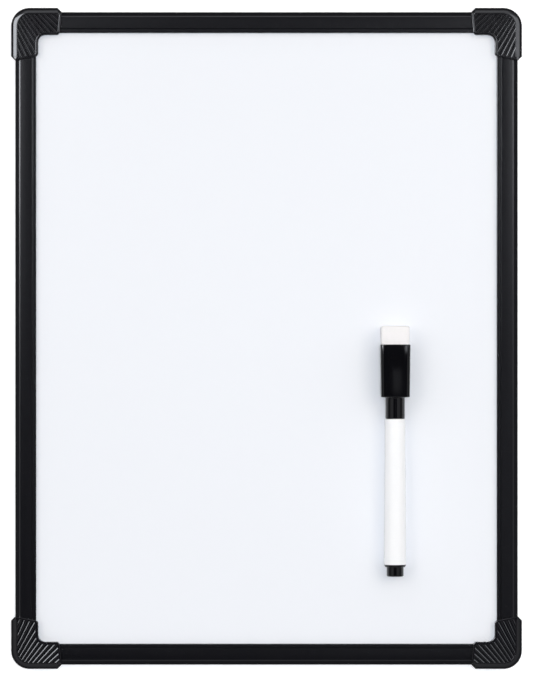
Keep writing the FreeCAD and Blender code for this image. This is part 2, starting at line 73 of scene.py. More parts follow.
def colour(name, hex_code, description):
    return FloatVectorProperty(name=name, description=description, subtype="COLOR",
                               min=0, max=1, default=linear(hex_code))


def length(name, millimetres, description):
    return FloatProperty(name=name, description=description, unit="LENGTH", min=0,
                         precision=5, default=millimetres * MM)


def angle(name, degrees, description):
    return FloatProperty(name=name, description=description, subtype="ANGLE",
                         default=math.radians(degrees))


def power(name, watts, description):
    return FloatProperty(name=name, description=description, unit="POWER", min=0, default=watts)


# Sizes and colours that a user would change

class BoardSettings(PropertyGroup):
    """The panel, the rails and the corner caps."""

    lacquer: colour("Lacquer", "F5F7FC", "Baked lacquer of the writing face")
    rail: colour("Rail", "0C0C10", "Black PVC of the rails")
    corner: colour("Corner cap", "0B0B0F", "Black ABS of the corner caps")
    core: colour("Core", "8C6A45", "Fibreboard between the sheets")
    backing: colour("Backing", "B9B7B1", "Sheet on the back of the core")
    rail_outer_round: length("Rail outer round", 1.4, "Round between a rail's front and its outer slope")
    rail_inner_round: length("Rail inner round", 0.45, "Round of a rail's inner front edge")
    rail_line: length("Rail line", 0.6, "Width of the line pressed along a rail")
    corner_round: length("Corner cap round", 2.6, "Width of the rounded outer border of a corner cap")
    rib_height: length("Rib height", 0.45, "Ribs above the sunk field of a corner cap")
    rib_count: IntProperty(name="Ribs", description="Ribs in one corner cap", default=13, min=1)
    rib_step: angle("Rib step", 2.4, "Turn from one rib to the next")


class MarkerSettings(PropertyGroup):
    """The marker on the face of the board."""

    cap: colour("Cap", "08080B", "Black PP of the marker cap")
    barrel: colour("Barrel", "FEFEFF", "White PP of the barrel")
    plug: colour("End plug", "09090B", "Black PP of the end plug")
    felt: colour("Felt", "F8F5F5", "Pressed wool felt of the eraser")
    ink: colour("Ink", "131318", "Ink in the nib and its store")
    edge_round: length("Edge round", 0.18, "Round of the barrel's two ends")
    felt_round: length("Felt round", 0.75, "Soft rim of the eraser's free end")
    felt_swell: length("Felt swell", 0.12, "Felt wider than its pocket once it is clear of it")


class StageSettings(PropertyGroup):
    """The floor, the light and the camera."""

    floor: colour("Floor", "F2F2F3", "Pale floor under the board")
    camera_height: length("Camera height", 2000, "Camera above the floor")
    view_width: length("View width", 225.4, "Width that the picture shows, near the frame's front")
    aim_drop: length("Aim drop", 1.3, "Middle of the picture below the middle of the board")
    soft_power: power("Soft light", 17.4, "Light over the board, which its gloss doesn't show")
    right_fill: power("Right fill", 8.2, "Wide light on the right, which gloss doesn't show")
    left_fill: power("Left fill", 5.7, "Wide light on the left, which gloss doesn't show")
    left_power: power("Left glow", 12.6, "Panel on the left, which only gloss shows")
    right_power: power("Right glow", 2.7, "Panel on the right, which only gloss shows")
    sheen_power: power("Sheen", 0.85, "Panel high on each side, which only gloss shows")
    far_power: power("Far sheen", 1.7, "Panel high beyond the right corner, which only gloss shows")
    marker_power: power("Marker sheen", 0.034, "Dim panel high over the marker, which only gloss shows")
    top_power: power("Top glow", 1.3, "Panel beyond the top, which only gloss shows")
    room_strength: FloatProperty(
        name="Room light", description="Strength of the room's own light", default=0.5)


# Outlines and meshes

def span(node):
    """Lowest and highest corner of a CAD node, in millimetres."""
    low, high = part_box(node)
    return np.array(low) / MM, np.array(high) / MM


def unit(vectors):
    return vectors / np.linalg.norm(vectors, axis=-1, keepdims=True)


def rounded(corners, steps=ARC_STEPS):
    """A closed outline of (x, y, radius) corners, as an array of points.

    Each corner becomes an arc. Its centre lies on the corner's bisector at radius / sin(half angle),
    and its points turn about that centre from one tangent point to the other.
    """
    table = np.array(corners, float)
    corner, radius = table[:, :2], np.maximum(table[:, 2:], LEAST_ROUND)
    back = unit(np.roll(corner, 1, axis=0) - corner)
    ahead = unit(np.roll(corner, -1, axis=0) - corner)
    half = np.arccos(np.clip((back * ahead).sum(1, keepdims=True), -1, 1)) / 2
    centre = corner + unit(back + ahead) * radius / np.sin(half)
    spoke = corner + back * radius / np.tan(half) - centre
    side = -np.sign(back[:, :1] * ahead[:, 1:] - back[:, 1:] * ahead[:, :1])
    turn = side * (math.pi - 2 * half) * np.linspace(0, 1, steps)
    across = np.stack([-spoke[:, 1], spoke[:, 0]], axis=1)
    points = (centre[:, None] + np.cos(turn)[..., None] * spoke[:, None]
              + np.sin(turn)[..., None] * across[:, None])
    return points.reshape(-1, 2)


def grid_faces(rows, columns, wrap_rows, wrap_columns):
    """Quads of a grid of points, with the last row or column joined to the first where asked."""
    row = np.arange(rows if wrap_rows else rows - 1)[:, None]
    column = np.arange(columns if wrap_columns else columns - 1)[None, :]
    below, right = (row + 1) % rows, (column + 1) % columns
    quads = [row * columns + column, row * columns + right,
             below * columns + right, below * columns + column]
    return np.stack(np.broadcast_arrays(*quads), axis=-1).reshape(-1, 4)


def hollow(piece, boxes):
    """Cuts boxes, each given by its lowest and highest corner in millimetres, out of a piece."""
    cutters = []
    for low, high in boxes:
        shell = bmesh.new()
        bmesh.ops.create_cube(shell, size=1)
        bmesh.ops.scale(shell, vec=(high - low) * MM, verts=shell.verts)
        bmesh.ops.translate(shell, vec=(high + low) / 2 * MM, verts=shell.verts)
        mesh = bpy.data.meshes.new("cutter")
        shell.to_mesh(mesh)
        shell.free()
        cutters.append(bpy.data.objects.new("cutter", mesh))
        bpy.context.scene.collection.objects.link(cutters[-1])
        cut = piece.modifiers.new("cut", "BOOLEAN")
        cut.operation, cut.solver, cut.object = "DIFFERENCE", "EXACT", cutters[-1]
    piece.data = bpy.data.meshes.new_from_object(piece.evaluated_get(bpy.context.evaluated_depsgraph_get()))
    piece.modifiers.clear()
    for cutter in cutters:
        bpy.data.objects.remove(cutter)


def make_piece(name, grid, body, node, material,
               wrap_rows=False, wrap_columns=False, lids=False, cuts=()):
    """A mesh from a grid of points in millimetres, which rides on a body in place of a CAD node.

    Points that meet at a seam or a pole are merged, and the faces are turned outwards. Lids close the
    first and the last row, and cuts are boxes that are taken out.
    """
    rows, columns = grid.shape[:2]
    faces = grid_faces(rows, columns, wrap_rows, wrap_columns).tolist()
    if lids:
        faces += [list(range(columns)), list(range((rows - 1) * columns, rows * columns))]
    mesh = bpy.data.meshes.new(name)
    mesh.from_pydata((grid.reshape(-1, 3) * MM).tolist(), [], faces)
    shell = bmesh.new()
    shell.from_mesh(mesh)
    bmesh.ops.remove_doubles(shell, verts=shell.verts, dist=MERGE_DISTANCE)
    bmesh.ops.recalc_face_normals(shell, faces=shell.faces)
    shell.to_mesh(mesh)
    shell.free()
    mesh.materials.append(material)
    piece = bpy.data.objects.new(name, mesh)
    bpy.context.scene.collection.objects.link(piece)
    if cuts:
        hollow(piece, cuts)
    piece.data.shade_smooth()
    piece.data.set_sharp_from_angle(angle=SHARP_ANGLE)
    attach(piece, body)
    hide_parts(node)
    return piece


def dress(node, material):
    """Gives a CAD node that stays in view its finish."""
    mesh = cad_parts[node].data
    mesh.materials.clear()
    mesh.materials.append(material)


# Materials

PATCH_NOISE = {"Detail": 4.0, "Roughness": 0.55}
GRAIN_NOISE = {"Detail": 3.0, "Roughness": 0.6}
NOISE_LOW, NOISE_HIGH = 0.3, 0.7               # most of a noise pattern lies between these
COLOUR_A, COLOUR_B, COLOUR_OUT = 6, 7, 2       # the colour sockets of a Mix node


def add_node(tree, kind, inputs=None, **settings):
    """Adds a node, sets its properties, and sets or links its inputs."""
    node = tree.nodes.new(kind)
    for name, setting in settings.items():
        setattr(node, name, setting)
    for name, source in (inputs or {}).items():
        if isinstance(source, bpy.types.NodeSocket):
            tree.links.new(source, node.inputs[name])
        else:
            node.inputs[name].default_value = source
    return node


def per_metre(millimetres):
    """Texture scale that gives a pattern of that size."""
    return 1 / (millimetres * MM)


def opaque(rgb):
    """A colour with full alpha."""
    return (*rgb, 1.0)


def lighter(rgb, factor):
    """A colour times a factor, which darkens it where that is under 1."""
    return tuple(min(1.0, part * factor) for part in rgb)


def finish(name, base, fleck, grain, spots, roughness, relief, stretch=(1, 1, 1), **sockets):
    """A surface whose colour, gloss and relief all vary with noise on Object coordinates.

    base and fleck are the two colours, grain the size in millimetres of the relief, spots the size of
    the colour and gloss patches, roughness its two ends, relief its depth in millimetres and stretch
    how much longer the grain is along each axis. Other sockets are set on the shader as they are.
    """
    material = bpy.data.materials.new(name)
    material.use_nodes = True
    tree = material.node_tree
    shader = tree.nodes["Principled BSDF"]
    for socket, setting in sockets.items():
        shader.inputs[socket].default_value = setting
    place = add_node(tree, "ShaderNodeTexCoord").outputs["Object"]
    drawn = add_node(tree, "ShaderNodeMapping", {
        "Vector": place, "Scale": tuple(1 / factor for factor in stretch)}).outputs["Vector"]
    patches = add_node(tree, "ShaderNodeTexNoise", {
        "Vector": drawn, "Scale": per_metre(spots), **PATCH_NOISE}).outputs["Fac"]
    fine = add_node(tree, "ShaderNodeTexNoise", {
        "Vector": drawn, "Scale": per_metre(grain), **GRAIN_NOISE}).outputs["Fac"]
    mixed = add_node(tree, "ShaderNodeMix", {
        "Factor": patches, COLOUR_A: opaque(base), COLOUR_B: opaque(fleck)},
        data_type="RGBA").outputs[COLOUR_OUT]
    gloss = add_node(tree, "ShaderNodeMapRange", {
        "Value": patches, "From Min": NOISE_LOW, "From Max": NOISE_HIGH,
        "To Min": roughness[0], "To Max": roughness[1]}).outputs["Result"]
    bump = add_node(tree, "ShaderNodeBump", {
        "Height": fine, "Strength": 1.0, "Distance": relief * MM}).outputs["Normal"]
    for socket, source in (("Base Color", mixed), ("Roughness", gloss), ("Normal", bump)):
        tree.links.new(source, shader.inputs[socket])
    return material


# Board

class WHITEBOARD_OT_panel(Operator):
    """Finish the writing sheet, the core and the backing sheet"""

    bl_idname = "whiteboard.panel"
    bl_label = "Panel"
    bl_options = {"REGISTER", "UNDO"}

    def execute(self, context):
        board = context.scene.whiteboard_board
        # Baked lacquer on steel: a wet, even white with the faintest orange peel and wiping haze
        lacquer = finish("lacquered_steel", board.lacquer, lighter(board.lacquer, 0.985),
                         grain=2.4, spots=45, roughness=(0.15, 0.22), relief=0.0012,
                         stretch=(2.5, 1, 1), IOR=1.5)
        # Pressed fibreboard: matt brown with short pale fibres
        fibreboard = finish("fibreboard", board.core, lighter(board.core, 1.35), grain=0.5, spots=3,
                            roughness=(0.8, 0.95), relief=0.04, stretch=(3, 1, 1), IOR=1.45)
        # Paper-faced backing: matt grey with soft pulp clouds
        paper = finish("backing_paper", board.backing, lighter(board.backing, 0.9), grain=0.6, spots=6,
                       roughness=(0.7, 0.85), relief=0.015, IOR=1.45)
        dress("writing_sheet", lacquer)
        dress("core_panel", fibreboard)
        dress("backing_sheet", paper)
        return {"FINISHED"}


def rail_section(board, width, height):
    """Section of a rail as (distance from its outer side, height over its back) in millimetres.

    A channel: an outer wall that slopes in at the front, a short back wall, and a lip with a pressed line.
    """
    wall, back, back_reach, back_round, lip = 1.3, 1.2, 7.2, 0.8, 1.6
    line_inset, line_depth, edge = 1.45, 0.35, 0.12
    slope_reach, slope_drop, slope_foot = 1.9, 1.38, 0.4
    line = board.rail_line / MM
    groove = width - line_inset
    return rounded([
        (0, 0, back_round),
        (back_reach, 0, 2 * edge),
        (back_reach, back, 2 * edge),
        (wall, back, edge),
        (wall, height - lip, edge),
        (width, height - lip, edge),
        (width, height, board.rail_inner_round / MM),
        (groove, height, edge),
        (groove - line / 2, height - line_depth, edge / 2),
        (groove - line, height, edge),
        (slope_reach, height, board.rail_outer_round / MM),
        (0, height - slope_drop, slope_foot),
    ])


class WHITEBOARD_OT_rails(Operator):
    """Make the four rails"""

    bl_idname = "whiteboard.rails"
    bl_label = "Rails"
    bl_options = {"REGISTER", "UNDO"}

    def execute(self, context):
        board = context.scene.whiteboard_board
        # Extruded PVC: satin black with faint die lines along its length
        looks = [finish(f"extruded_pvc_{axis}", board.rail, lighter(board.rail, 1.25), grain=0.3, spots=5,
                        roughness=(0.17, 0.22), relief=0.002, stretch=stretch, IOR=1.53)
                 for axis, stretch in (("x", (60, 1, 1)), ("y", (1, 60, 1)))]
        for name, along, outward in (("rail_bottom", 0, -1), ("rail_top", 0, 1),
                                     ("rail_left", 1, -1), ("rail_right", 1, 1)):
            low, high = span(name)
            across = 1 - along
            section = rail_section(board, high[across] - low[across], high[2] - low[2])
            outer = high[across] if outward > 0 else low[across]
            grid = np.empty((2, len(section), 3))
            grid[:, :, along] = np.array([low[along], high[along]])[:, None]
            grid[:, :, across] = outer - outward * section[:, 0]
            grid[:, :, 2] = low[2] + section[:, 1]
            make_piece(f"{name}_extrusion", grid, "board", name, looks[along],
                       wrap_columns=True, lids=True)
        return {"FINISHED"}


# Corner caps

RAIL_LOW, RAIL_HIGH = span("rail_left")
OUTER_STEP, INNER_LIP = 1.7, 0.9       # how far a cap stands past the rails, outwards and inwards
LEG_WIDTH = OUTER_STEP + RAIL_HIGH[0] - RAIL_LOW[0] + INNER_LIP
LEG_CUT, LIP_CUT = 1.75, 0.9           # corners cut off the end of a leg, outside and inside
# Length of a leg and slope of its slanted end: the leg across the board, then the one up it
LEGS = (
    (21.4, math.tan(math.radians(5))),
    (22.25, math.tan(math.radians(10.5))),
)
OUTER_ROUND, INNER_ROUND = 7.8, 3.1    # corners of the L, in plan
MARGIN_OUTER, MARGIN_INNER, MARGIN_END = 2.75, 1.2, 0.95    # smooth border round the sunk field
LIP_ROUND, RIM_ROUND, BACK_BEVEL, CUT_ROUND = 0.4, 0.14, 0.3, 0.35
RECESS_DEPTH = 0.6
FAN_ASIDE, FAN_BEYOND = 14.4, 24.5     # centre of the fan of ribs, past the cap's outer corner
FAN_LEAN = math.radians(36.5)          # the middle of the fan, from the leg up the board
FAN_END = math.radians(0.2)            # stretch at each end of the fan where the lip's edge widens
RIB_SHARE = 0.36       # half of a rib's foot, as a share of the step between ribs
RIB_RISE = np.array([0, 0.1, 0.18, 0.25, 0.3, 0.335, 0.355, RIB_SHARE])    # sections from crest to foot
RIB_GAP = np.array([0.42, 0.5, 0.58])  # sections between two ribs
DENSE_POINTS = 6000    # points round an outline before it is cut into sections
FIELD_STEPS = 6        # points along a rib
END_STEPS = 18         # extra sections at the end of a leg
EDGE_STEPS = 5, 10     # points on the small and on the large arc of the front edge


def leg_end(leg, across):
    """Length of a leg at a distance from its outer side: the end slants back inwards."""
    length_there, slant = LEGS[leg]
    return length_there - (across - LEG_CUT) * slant


def both_legs(corners):
    """Outline from the corners of the leg along X and of the one along Y, mirrored in the diagonal."""
    first, second = corners(0), corners(1)
    return rounded([*first, *[(y, x, radius) for x, y, radius in reversed(second[1:-1])]], 2 * ARC_STEPS)


def cap_outline(leg):
    """Plan of one leg of a corner cap: half of an L with a round outer corner and a cut end."""
    tip, lip = leg_end(leg, LEG_CUT), leg_end(leg, LEG_WIDTH - LIP_CUT)
    return [
        (0, 0, OUTER_ROUND),
        (tip - LEG_CUT, 0, CUT_ROUND),
        (tip, LEG_CUT, CUT_ROUND),
        (lip, LEG_WIDTH - LIP_CUT, CUT_ROUND),
        (lip - LIP_CUT, LEG_WIDTH, CUT_ROUND),
        (LEG_WIDTH, LEG_WIDTH, INNER_ROUND),
    ]


def field_outline(leg):
    """Plan of the sunk field in one leg, with one corner for each corner of the cap's plan."""
    inner = LEG_WIDTH - MARGIN_INNER
    outer_end = leg_end(leg, MARGIN_OUTER) - MARGIN_END
    inner_end = leg_end(leg, inner) - MARGIN_END
    nick = CUT_ROUND
    return [
        (MARGIN_OUTER, MARGIN_OUTER, OUTER_ROUND - MARGIN_OUTER),
        (outer_end - nick, MARGIN_OUTER, nick / 4),
        (outer_end, MARGIN_OUTER + nick, nick / 4),
        (inner_end, inner - nick, nick / 4),
        (inner_end - nick, inner, nick / 4),
        (inner, inner, INNER_ROUND + MARGIN_INNER),
    ]


def rib_profile(turned, step, count):
    """Height of the ribs, from 0 to 1, at angles from the middle of the fan.

    Within each step the height is the square root of 1 - (distance / half foot) squared: a half ellipse.
    """
    nearest = np.clip(np.round(turned / step), -(count - 1) / 2, (count - 1) / 2)
    away = (turned / step - nearest) / RIB_SHARE
    return np.sqrt(np.clip(1 - away ** 2, 0, None))


def edge_curve():
    """Front edge of a corner cap as (inset, drop), both as shares of its width.

    A small arc turns off the wall, from 90 to 45 degrees of tilt. A large one eases from there onto the
    border. On each, the inset follows the sine of the tilt and the drop its cosine.
    """
    steep, flat, small = math.radians(45), math.radians(4), 0.1
    large = (1 - small * (1 - math.sin(steep))) / (math.sin(steep) - math.sin(flat))
    tilt = np.concatenate([np.linspace(math.pi / 2, steep, EDGE_STEPS[0])[:-1],
                           np.linspace(steep, flat, EDGE_STEPS[1])])
    inset = np.where(tilt > steep, small * (1 - np.sin(tilt)), 1 - large * (np.sin(tilt) - math.sin(flat)))
    drop = np.where(tilt > steep, small, large) * (math.cos(steep) - np.cos(tilt))
    return inset, drop + large * (math.cos(flat) - math.cos(steep))


def cap_chain(plan, field, radius, height, foot):
    """Points from the back of a corner cap's wall up, over its front edge and down to the ribs.

    At each section the wall rises on the plan, the front edge, as wide as the given radius, leads onto
    the border, and a small quarter circle leads down to the foot of the ribs, on the field's outline.
    """
    margin = np.linalg.norm(field - plan, axis=1)
    edge_inset, edge_drop = edge_curve()
    down = np.linspace(0, math.pi / 2, ARC_STEPS // 2)
    flat = np.ones_like(margin)
    inset = [flat * BACK_BEVEL, flat * 0]
    level = [flat * 0, flat * BACK_BEVEL]
    inset += [radius * part for part in edge_inset]
    level += [height - radius * part for part in edge_drop]
    inset += [margin - RIM_ROUND * (1 - math.sin(turn)) for turn in down] + [margin]
    level += [flat * height - RIM_ROUND * (1 - math.cos(turn)) for turn in down] + [foot]
    share = np.stack(inset, axis=1) / margin[:, None]
    spot = plan[:, None] + share[..., None] * (field - plan)[:, None]
    return np.dstack([spot, np.stack(level, axis=1)])


def corner_cap_grid(board, height):
    """Closed sections of a corner cap, one for each angle about the centre of its rib fan.

    A ray from that centre crosses the sunk field once. Its section runs up the outer wall, across the
    ribs and down the inner wall, and the back closes it. The first and last sections fold flat.
    """
    plan, field = both_legs(cap_outline), both_legs(field_outline)
    run = np.append(0, np.cumsum(np.linalg.norm(np.diff(field, axis=0, append=field[:1]), axis=1)))
    dense = np.linspace(0, run[-1], DENSE_POINTS, endpoint=False)

    def spread(ring):
        """The closed ring at even distances along the field's outline."""
        closed = np.append(ring, ring[:1], axis=0)
        return np.stack([np.interp(dense, run, closed[:, axis]) for axis in (0, 1)], axis=1)

    plan, field = spread(plan), spread(field)
    facing = FAN_LEAN - np.arctan2(field[:, 0] + FAN_ASIDE, field[:, 1] + FAN_BEYOND)
    around = (np.argmax(facing) + np.arange(len(facing) + 1)) % len(facing)
    plan, field, facing = plan[around], field[around], facing[around]
    turn = int(np.argmin(facing))
    outer_side, inner_side = slice(turn, None, -1), slice(turn, None)

    step = board.rib_step
    share = np.concatenate([RIB_RISE, RIB_GAP, 1 - RIB_RISE[:0:-1]])
    ribs = (np.arange(-board.rib_count // 2 - 1, board.rib_count // 2 + 2)[:, None] + share).ravel() * step
    near_end = np.linspace(0, 1, END_STEPS) ** 2 * step / 2
    angles = np.concatenate([ribs, facing[turn] + near_end, facing[0] - near_end])
    angles = np.unique(np.clip(angles, facing[turn], facing[0]))

    def at(values, side):
        """The points of one side of a ring that lie at those angles."""
        return np.stack([np.interp(angles, facing[side], values[side, axis]) for axis in (0, 1)], axis=1)

    ribs_level = height - RECESS_DEPTH + board.rib_height / MM * rib_profile(angles, step, board.rib_count)
    front = board.corner_round / MM
    near = np.interp(np.minimum(angles - facing[turn], facing[0] - angles), [0, FAN_END], [1, 0])
    outer_edge = np.full(len(angles), front)
    inner_edge = LIP_ROUND + (front - LIP_ROUND) * near
    outer = cap_chain(at(plan, outer_side), at(field, outer_side), outer_edge, height, ribs_level)
    inner = cap_chain(at(plan, inner_side), at(field, inner_side), inner_edge, height, ribs_level)
    across = np.linspace(0, 1, FIELD_STEPS)[1:-1, None]
    crossing = outer[:, -1:] * (1 - across) + inner[:, -1:] * across
    return np.concatenate([outer, crossing, inner[:, ::-1]], axis=1)


class WHITEBOARD_OT_corner_caps(Operator):
    """Make the four ribbed corner caps"""

    bl_idname = "whiteboard.corner_caps"
    bl_label = "Corner caps"
    bl_options = {"REGISTER", "UNDO"}

    def execute(self, context):
        board = context.scene.whiteboard_board
        # Moulded ABS from an eroded mould: black, half gloss, with a very fine grain
        abs_black = finish("moulded_abs", board.corner, lighter(board.corner, 1.3), grain=0.35, spots=4,
                           roughness=(0.12, 0.18), relief=0.001, IOR=1.54)
        play, edge_gap = 0.1, 0.3
        panel = (span("backing_sheet")[0] - [edge_gap, edge_gap, play],
                 span("writing_sheet")[1] + [edge_gap, edge_gap, play])
        for turns, corner in enumerate(("bottom_left", "bottom_right", "top_right", "top_left")):
            node = f"corner_cap_{corner}"
            across, upright = (span(f"rail_{side}") for side in corner.split("_"))
            sockets = [panel, (across[0] - [0, play, play], across[1] + [0, play, play]),
                       (upright[0] - [play, 0, play], upright[1] + [play, 0, play])]
            low, high = span(node)
            grid = corner_cap_grid(board, high[2] - low[2])
            if turns % 2:
                grid = grid[..., [1, 0, 2]]
            cosine, sine = math.cos(math.pi / 2 * turns), math.sin(math.pi / 2 * turns)
            spin = np.array([[cosine, -sine, 0], [sine, cosine, 0], [0, 0, 1]])
            tip = np.array([high[0] if "right" in corner else low[0],
                            high[1] if "top" in corner else low[1], low[2]])
            make_piece(f"{node}_moulding", grid @ spin.T + tip, "board", node, abs_black,
                       wrap_columns=True, cuts=sockets)
        return {"FINISHED"}


# Marker

AXIS_LOW, AXIS_HIGH = span("marker_barrel")
AXIS_X, AXIS_Z = (AXIS_LOW[0] + AXIS_HIGH[0]) / 2, (AXIS_LOW[2] + AXIS_HIGH[2]) / 2
FRONT, TAIL = AXIS_HIGH[1], AXIS_LOW[1]
FRONT_RADIUS, TAIL_RADIUS = 4.25, (AXIS_HIGH[0] - AXIS_LOW[0]) / 2
BORE, PUSHED = 3.45, 3.4               # radii of the barrel's bore and of what is pushed into it
COLLAR, NOSE, SOCKET = 3.2, 2.2, 3.28  # radii of the nib holder's collar and nose and of the cap's socket


def turned(profile):
    """A profile of (place along the axis, radius) carried round the marker's axis in a circle."""
    way = np.linspace(0, 2 * math.pi, ROUND_STEPS, endpoint=False)[:, None]
    along, radius = profile[None, :, 0], profile[None, :, 1]
    spots = np.broadcast_arrays(AXIS_X + radius * np.cos(way), along, AXIS_Z + radius * np.sin(way))
    return np.stack(spots, axis=-1)


def box_rings(rings, steps=ARC_STEPS):
    """Rounded rectangles across the marker's axis, one ring of points for each row.

    A row is (place along Y, half width, drop, rise, low radius, high radius). Each corner is a quarter
    circle about a point that lies one radius in from both sides; equal sizes and radii give a circle.
    """
    along, half, drop, rise, low, high = np.array(rings, float).T[:, :, None]
    across, level = [], []
    for number, (side, radius, border, way) in enumerate((
            (1, low, -drop, 1), (1, high, rise, -1), (-1, high, rise, -1), (-1, low, -drop, 1))):
        turn = np.linspace(0, math.pi / 2, steps) + (number - 1) * math.pi / 2
        across.append(side * (half - radius) + radius * np.cos(turn))
        level.append(border + way * radius + radius * np.sin(turn))
    across, level = np.concatenate(across, axis=1), np.concatenate(level, axis=1)
    return np.stack([AXIS_X + across, np.broadcast_to(along, across.shape), AXIS_Z + level], axis=-1)


class WHITEBOARD_OT_marker_cap(Operator):
    """Make the marker's cap"""

    bl_idname = "whiteboard.marker_cap"
    bl_label = "Marker cap"
    bl_options = {"REGISTER", "UNDO"}

    def execute(self, context):
        marker = context.scene.whiteboard_marker
        low, high = span("marker_cap")
        drop, rise = AXIS_Z - low[2], high[2] - AXIS_Z
        mouth, end = low[1], high[1]
        neck, neck_length, socket_reach, pocket_depth = 4.1, 9.1, 19.45, 6.4
        edge, wall, fillet, rim, bevel = 0.2, 0.5, 0.6, 0.4, 0.4
        low_width, rise_low = 12.15, 5.6
        front, back, pad_round = 1.5, 0.5, 0.8
        magnet_play, through = 0.05, 1.0
        box_start, pocket, socket_end = mouth + neck_length, end - pocket_depth, FRONT + socket_reach
        half_low, half_top = low_width / 2, (high[0] - low[0]) / 2

        def circle(along, radius):
            return along, radius, radius, radius, radius, radius

        def box(along, half, front_rise, inset):
            return along, half - inset, drop - inset, front_rise - inset, back, front

        # A quarter round as shares of its radius: the way along the axis, and the way in towards it
        arc = [(1 - math.sin(turn), 1 - math.cos(turn)) for turn in np.linspace(0, math.pi / 2, ARC_STEPS)]
        lip = [circle(mouth + edge * along, neck - edge * inset) for along, inset in reversed(arc)]
        root = [circle(box_start - fillet * along, neck + fillet * inset) for along, inset in arc]
        shoulder = [box(box_start + bevel * along, half_low, rise_low, bevel * inset)
                    for along, inset in reversed(arc)]
        brim = [box(end - rim * along, half_top, rise, rim * inset) for along, inset in arc]
        rows = [
            circle(socket_end, 0),
            circle(socket_end, SOCKET),
            circle(mouth + edge, SOCKET),
            circle(mouth, SOCKET + edge),
            *lip,
            *root,
            *shoulder,
            *brim,
            (end, half_top - wall, drop - wall, rise - wall, pad_round, pad_round),
            (pocket, half_top - wall, drop - wall, rise - wall, pad_round, pad_round),
            circle(pocket, 0),
        ]
        # Moulded PP from a polished mould: deep gloss black
        pp_black = finish("moulded_pp_black", marker.cap, lighter(marker.cap, 1.4), grain=1.6, spots=9,
                          roughness=(0.06, 0.12), relief=0.0006, stretch=(1, 3, 1), IOR=1.49)
        magnet_low, magnet_high = span("cap_magnet")
        pocket_box = magnet_low - [magnet_play, magnet_play, through], magnet_high + magnet_play
        make_piece("marker_cap_moulding", box_rings(rows), "cap", "marker_cap", pp_black,
                   wrap_columns=True, cuts=[pocket_box])
        return {"FINISHED"}


FELT_CORNER, FELT_CROWN = 0.75, 0.12   # long edges of the eraser, and the rise of its free end
FELT_SWELL_REACH = 1.2                 # way past the cap's end over which the felt swells
FELT_RINGS = 8, 44, 20                 # rings in the pocket, along the free sides and over the free end
FELT_SPLIT = 6                         # points on each stretch of a ring
# Unevenness of the felt: waves in radians per millimetre along X, Y and Z, then the height of the lumps,
# the way past the cap's end to full height, and how deep under the free end they point away from
FELT_WAVES = np.array([[5.1, 2.3, 3.7], [-3.2, 6.1, 2.9], [2.2, -4.4, 7.3], [9.7, 8.3, -6.1]])
FELT_LUMP, FELT_LUMP_REACH, FELT_LUMP_DEPTH = 0.035, 0.5, 3


def felt_block(low, high, clear, soft, swell):
    """Closed rings of the eraser, from the floor of its pocket to the middle of its free end.

    Its sides keep to the pocket up to the cap's end, at clear, and then swell by a smooth step, 3 t
    squared - 2 t cubed. A quarter circle turns them over into the free end, whose rise towards its middle
    is 1 - (share of the way out) squared.
    """
    drop, rise, half = AXIS_Z - low[2], high[2] - AXIS_Z, (high[0] - low[0]) / 2
    start, end = low[1], high[1] - FELT_CROWN
    in_pocket, on_sides, on_end = FELT_RINGS
    first_gap, clear_gap = 0.2, 0.15
    sides = np.concatenate([[start], np.linspace(start + first_gap, clear, in_pocket),
                            np.linspace(clear + clear_gap, end - soft, on_sides)])
    free = np.clip((sides - clear) / FELT_SWELL_REACH, 0, 1)
    over = np.linspace(0, math.pi / 2, 2 * ARC_STEPS)[1:]
    along = np.concatenate([sides, end - soft * (1 - np.sin(over))])
    grow = np.concatenate([swell * free * free * (3 - 2 * free), swell - soft * (1 - np.cos(over))])
    corner = np.full_like(along, FELT_CORNER)
    rings = box_rings(np.stack([along, half + grow, drop + grow, rise + grow, corner, corner], axis=1),
                      2 * ARC_STEPS)
    part = np.linspace(0, 1, FELT_SPLIT, endpoint=False)[:, None]
    rings = rings[:, :, None] * (1 - part) + np.roll(rings, -1, axis=1)[:, :, None] * part
    rings = rings.reshape(len(along), -1, 3)
    middle = np.array([AXIS_X, 0, AXIS_Z + (rise - drop) / 2])
    out = np.linspace(1, 0, on_end)[1:, None, None]
    lid = middle * (1 - out) + rings[-1] * out
    lid[:, :, 1] = rings[-1][:, 1] + FELT_CROWN * (1 - out[:, :, 0] ** 2)
    back = np.stack([middle + (rings[0] - middle) * share for share in (0, 0.5)])
    back[:, :, 1] = start
    return np.concatenate([back, rings, lid])


def uneven(grid, clear, end):
    """Moves the free felt in and out by the mean of a few sine waves, from nothing at the cap's end."""
    ripple = np.sin(grid @ FELT_WAVES.T + np.arange(len(FELT_WAVES))).mean(-1, keepdims=True)
    outward = grid - [AXIS_X, end - FELT_LUMP_DEPTH, AXIS_Z]
    outward[..., 1] = np.clip(outward[..., 1], 0, None)
    lumps = FELT_LUMP * ripple * np.clip((grid[..., 1:2] - clear) / FELT_LUMP_REACH, 0, 1)
    return grid + lumps * unit(outward)


